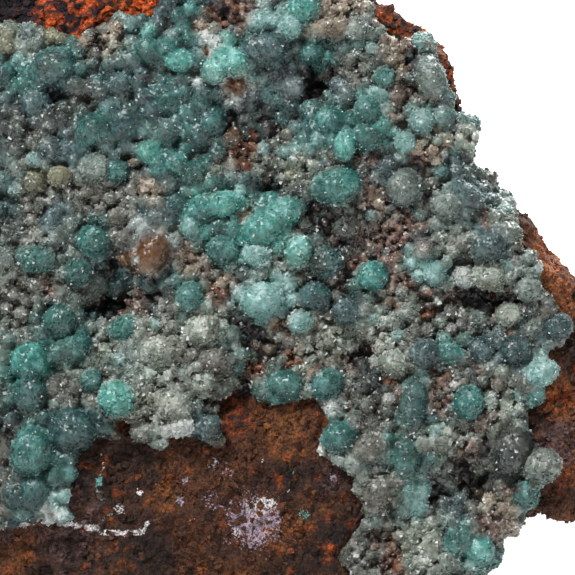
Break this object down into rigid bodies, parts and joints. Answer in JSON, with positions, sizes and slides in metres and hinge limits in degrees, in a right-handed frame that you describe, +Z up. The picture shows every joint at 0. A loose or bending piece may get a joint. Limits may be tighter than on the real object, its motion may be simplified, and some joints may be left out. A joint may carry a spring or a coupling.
{
  "type": "cuproadamite mineral specimen",
  "caption": "Blue-green botryoidal cuproadamite crust on a lump of rusty brown limonite rock that stands on its trimmed flat base.",
  "frame": {"origin": "middle of the flat base that the lump rests on", "axes": "+Z up; -Y towards the viewer of the crusted display face, which leans back 20 degrees; +X to that viewer's right, along the longest side"},
  "size_m": [0.0926, 0.0583, 0.085],
  "materials": {
    "rusty_limonite": "rough, earthy, rusty brown with orange and black grains",
    "blue_green_adamite": "drusy, glassy sparkle on translucent blue-green balls and pale sugary grains"
  },
  "bodies": {
    "root": {"limonite_matrix": "rusty_limonite", "adamite_crust": "blue_green_adamite"}
  },
  "joints": []
}
